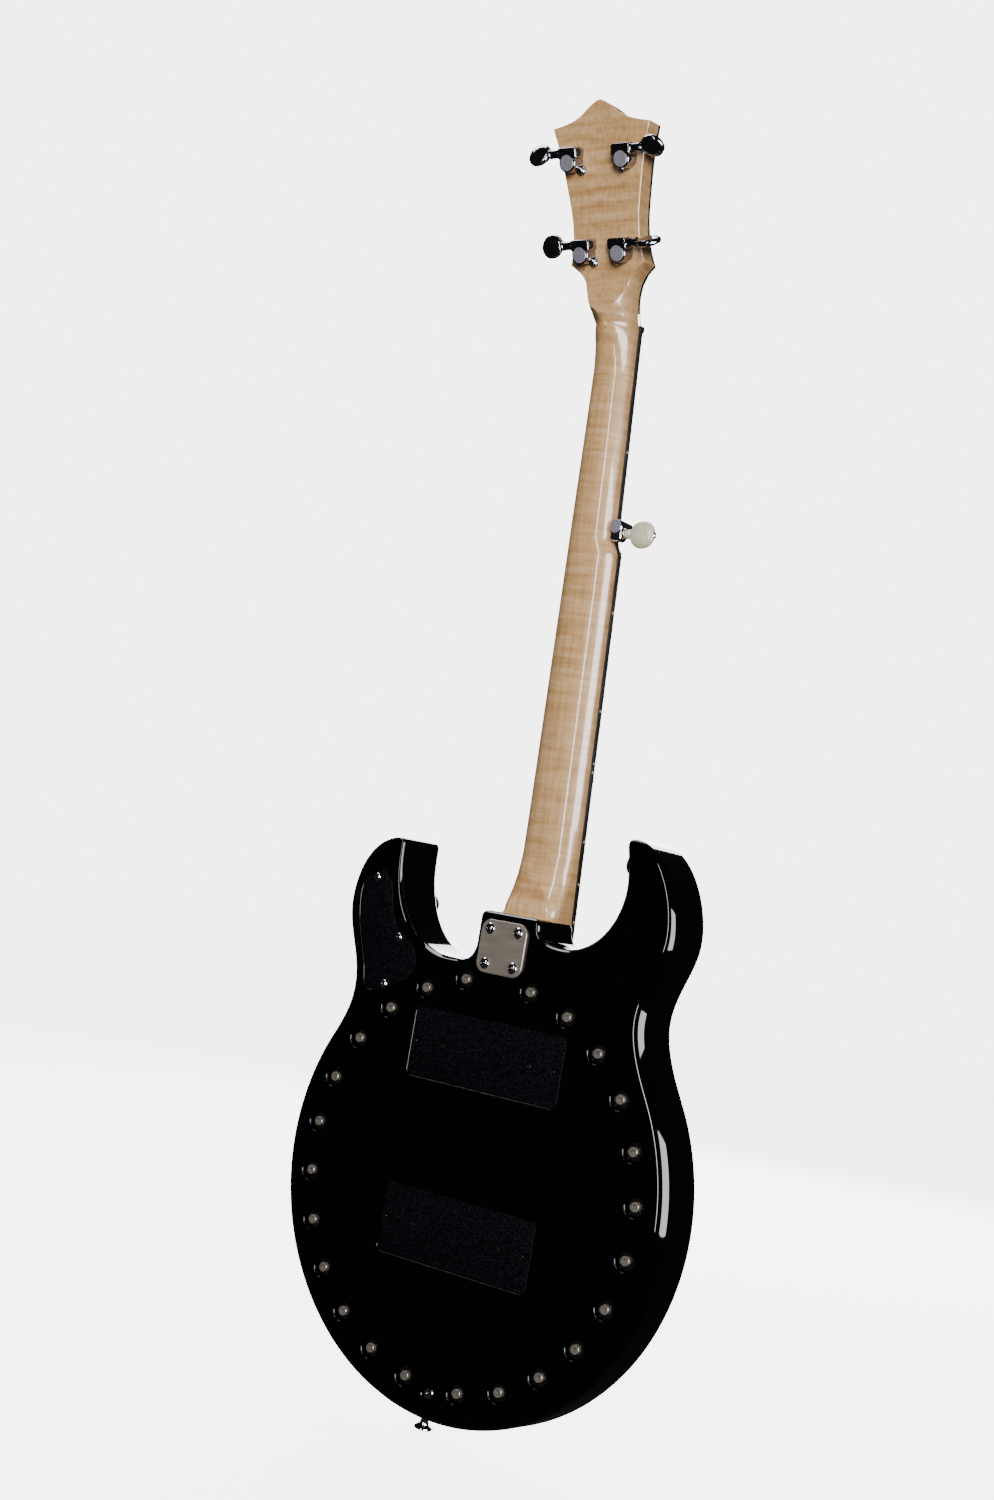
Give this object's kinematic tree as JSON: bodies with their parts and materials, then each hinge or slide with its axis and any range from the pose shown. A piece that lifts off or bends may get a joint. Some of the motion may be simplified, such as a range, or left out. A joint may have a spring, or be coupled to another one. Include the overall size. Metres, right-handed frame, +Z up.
{
  "type": "solid-body electric banjo",
  "caption": "Solid-body electric banjo with a drum head, bolt-on flamed maple neck, geared tuners, a side-mounted short string peg and working controls.",
  "frame": {"origin": "centre of the tension bolt circle, on the flat back of the body", "axes": "+Z up along the neck to the headstock, +Y out of the back of the body, -Y out of the strings and head, +X towards the treble side"},
  "size_m": [0.345, 0.1306, 0.9672],
  "materials": {
    "gloss_black_lacquer": "wood under high gloss black lacquer",
    "flamed_maple": "clear gloss over flamed maple",
    "ebony_board": "satin, oiled",
    "black_overlay": "gloss",
    "black_plastic": "satin",
    "textured_black_cover": "fine pebble texture",
    "black_screws": "satin black oxide",
    "chrome": "polished",
    "satin_nickel": "satin nickel",
    "brass_ring": "turned",
    "frosted_head": "frosted film",
    "maple_bridge": "bare maple with an ebony top",
    "steel": "plain plated steel",
    "string_steel": "plain and wound steel wire",
    "tuner_chrome": "dark chrome",
    "cream_pearl": "pearloid"
  },
  "bodies": {
    "instrument": {"body": "gloss_black_lacquer", "neck": "flamed_maple", "fingerboard": "ebony_board", "headstock_overlay": "black_overlay", "nut": "black_plastic", "truss_rod_cover": "black_plastic", "neck_pickup": "black_plastic", "bridge_pickup": "black_plastic", "neck_pickup_cover": "textured_black_cover", "bridge_pickup_cover": "textured_black_cover", "control_cover": "textured_black_cover", "pickup_cover_screw_1": "black_screws", "pickup_cover_screw_2": "black_screws", "pickup_cover_screw_3": "black_screws", "pickup_cover_screw_4": "black_screws", "control_cover_screw_1": "chrome", "control_cover_screw_2": "chrome", "control_cover_screw_3": "chrome", "neck_plate_screw_1": "chrome", "neck_plate_screw_2": "chrome", "neck_plate_screw_3": "chrome", "neck_plate_screw_4": "chrome", "strap_button_tail": "chrome", "strap_button_horn": "chrome", "tailpiece": "chrome", "tailpiece_bolt": "chrome", "output_jack": "chrome", "neck_plate": "satin_nickel", "tension_hoop": "satin_nickel", "tone_ring": "brass_ring", "drum_head": "frosted_head", "bridge": "maple_bridge", "fifth_string_nut": "steel", "truss_rod": "steel", "volume_pot": "steel", "tone_pot": "steel", "selector_switch": "steel", "string_1": "string_steel", "string_2": "string_steel", "string_3": "string_steel", "string_4": "string_steel", "string_5": "string_steel", "tuner_housing_1": "tuner_chrome", "tuner_housing_2": "tuner_chrome", "tuner_housing_3": "tuner_chrome", "tuner_housing_4": "tuner_chrome", "tuner_housing_5": "tuner_chrome"},
    "button_1": {"tuner_button_1": "tuner_chrome"},
    "post_1": {"tuner_post_1": "tuner_chrome"},
    "button_2": {"tuner_button_2": "tuner_chrome"},
    "post_2": {"tuner_post_2": "tuner_chrome"},
    "button_3": {"tuner_button_3": "tuner_chrome"},
    "post_3": {"tuner_post_3": "tuner_chrome"},
    "button_4": {"tuner_button_4": "tuner_chrome"},
    "post_4": {"tuner_post_4": "tuner_chrome"},
    "button_5": {"tuner_button_5": "cream_pearl"},
    "post_5": {"tuner_post_5": "tuner_chrome"},
    "volume_control": {"volume_knob": "black_plastic"},
    "tone_control": {"tone_knob": "black_plastic"},
    "selector": {"selector_lever": "chrome"}
  },
  "joints": [
    {"name": "button_1_turn", "type": "hinge", "parent": "instrument", "child": "button_1", "pos_m": [0.0166, 0.02643, 0.68577], "axis": [1, 0, 0], "continuous": true},
    {"name": "post_1_turn", "type": "hinge", "parent": "instrument", "child": "post_1", "pos_m": [0.0166, 0.01679, 0.68205], "axis": [0, 0.9302, -0.367], "continuous": true},
    {"name": "button_2_turn", "type": "hinge", "parent": "instrument", "child": "button_2", "pos_m": [0.0237, 0.05054, 0.74688], "axis": [1, 0, 0], "continuous": true},
    {"name": "post_2_turn", "type": "hinge", "parent": "instrument", "child": "post_2", "pos_m": [0.0237, 0.0409, 0.74316], "axis": [0, 0.9302, -0.367], "continuous": true},
    {"name": "button_3_turn", "type": "hinge", "parent": "instrument", "child": "button_3", "pos_m": [-0.0237, 0.05054, 0.74688], "axis": [1, 0, 0], "continuous": true},
    {"name": "post_3_turn", "type": "hinge", "parent": "instrument", "child": "post_3", "pos_m": [-0.0237, 0.0409, 0.74316], "axis": [0, 0.9302, -0.367], "continuous": true},
    {"name": "button_4_turn", "type": "hinge", "parent": "instrument", "child": "button_4", "pos_m": [-0.0166, 0.02643, 0.68577], "axis": [1, 0, 0], "continuous": true},
    {"name": "post_4_turn", "type": "hinge", "parent": "instrument", "child": "post_4", "pos_m": [-0.0166, 0.01679, 0.68205], "axis": [0, 0.9302, -0.367], "continuous": true},
    {"name": "button_5_turn", "type": "hinge", "parent": "instrument", "child": "button_5", "pos_m": [-0.025, -0.021, 0.4823], "axis": [1, 0, 0], "continuous": true},
    {"name": "post_5_turn", "type": "hinge", "parent": "instrument", "child": "post_5", "pos_m": [-0.025, -0.021, 0.4871], "axis": [0, 1, 0], "continuous": true},
    {"name": "volume_turn", "type": "hinge", "parent": "instrument", "child": "volume_control", "pos_m": [0.1205, -0.0555, 0.191], "axis": [0, -1, 0], "range_deg": [-150, 150]},
    {"name": "tone_turn", "type": "hinge", "parent": "instrument", "child": "tone_control", "pos_m": [0.1088, -0.0555, 0.1526], "axis": [0, -1, 0], "range_deg": [-150, 150]},
    {"name": "selector_throw", "type": "hinge", "parent": "instrument", "child": "selector", "pos_m": [0.0945, -0.046, 0.1445], "axis": [1, 0, 0], "range_deg": [-13, 13]}
  ],
  "couplings": [
    {"joint": "post_1_turn", "follows": "button_1_turn", "ratio": -0.071429},
    {"joint": "post_2_turn", "follows": "button_2_turn", "ratio": -0.071429},
    {"joint": "post_3_turn", "follows": "button_3_turn", "ratio": 0.071429},
    {"joint": "post_4_turn", "follows": "button_4_turn", "ratio": 0.071429},
    {"joint": "post_5_turn", "follows": "button_5_turn", "ratio": 0.071429}
  ]
}
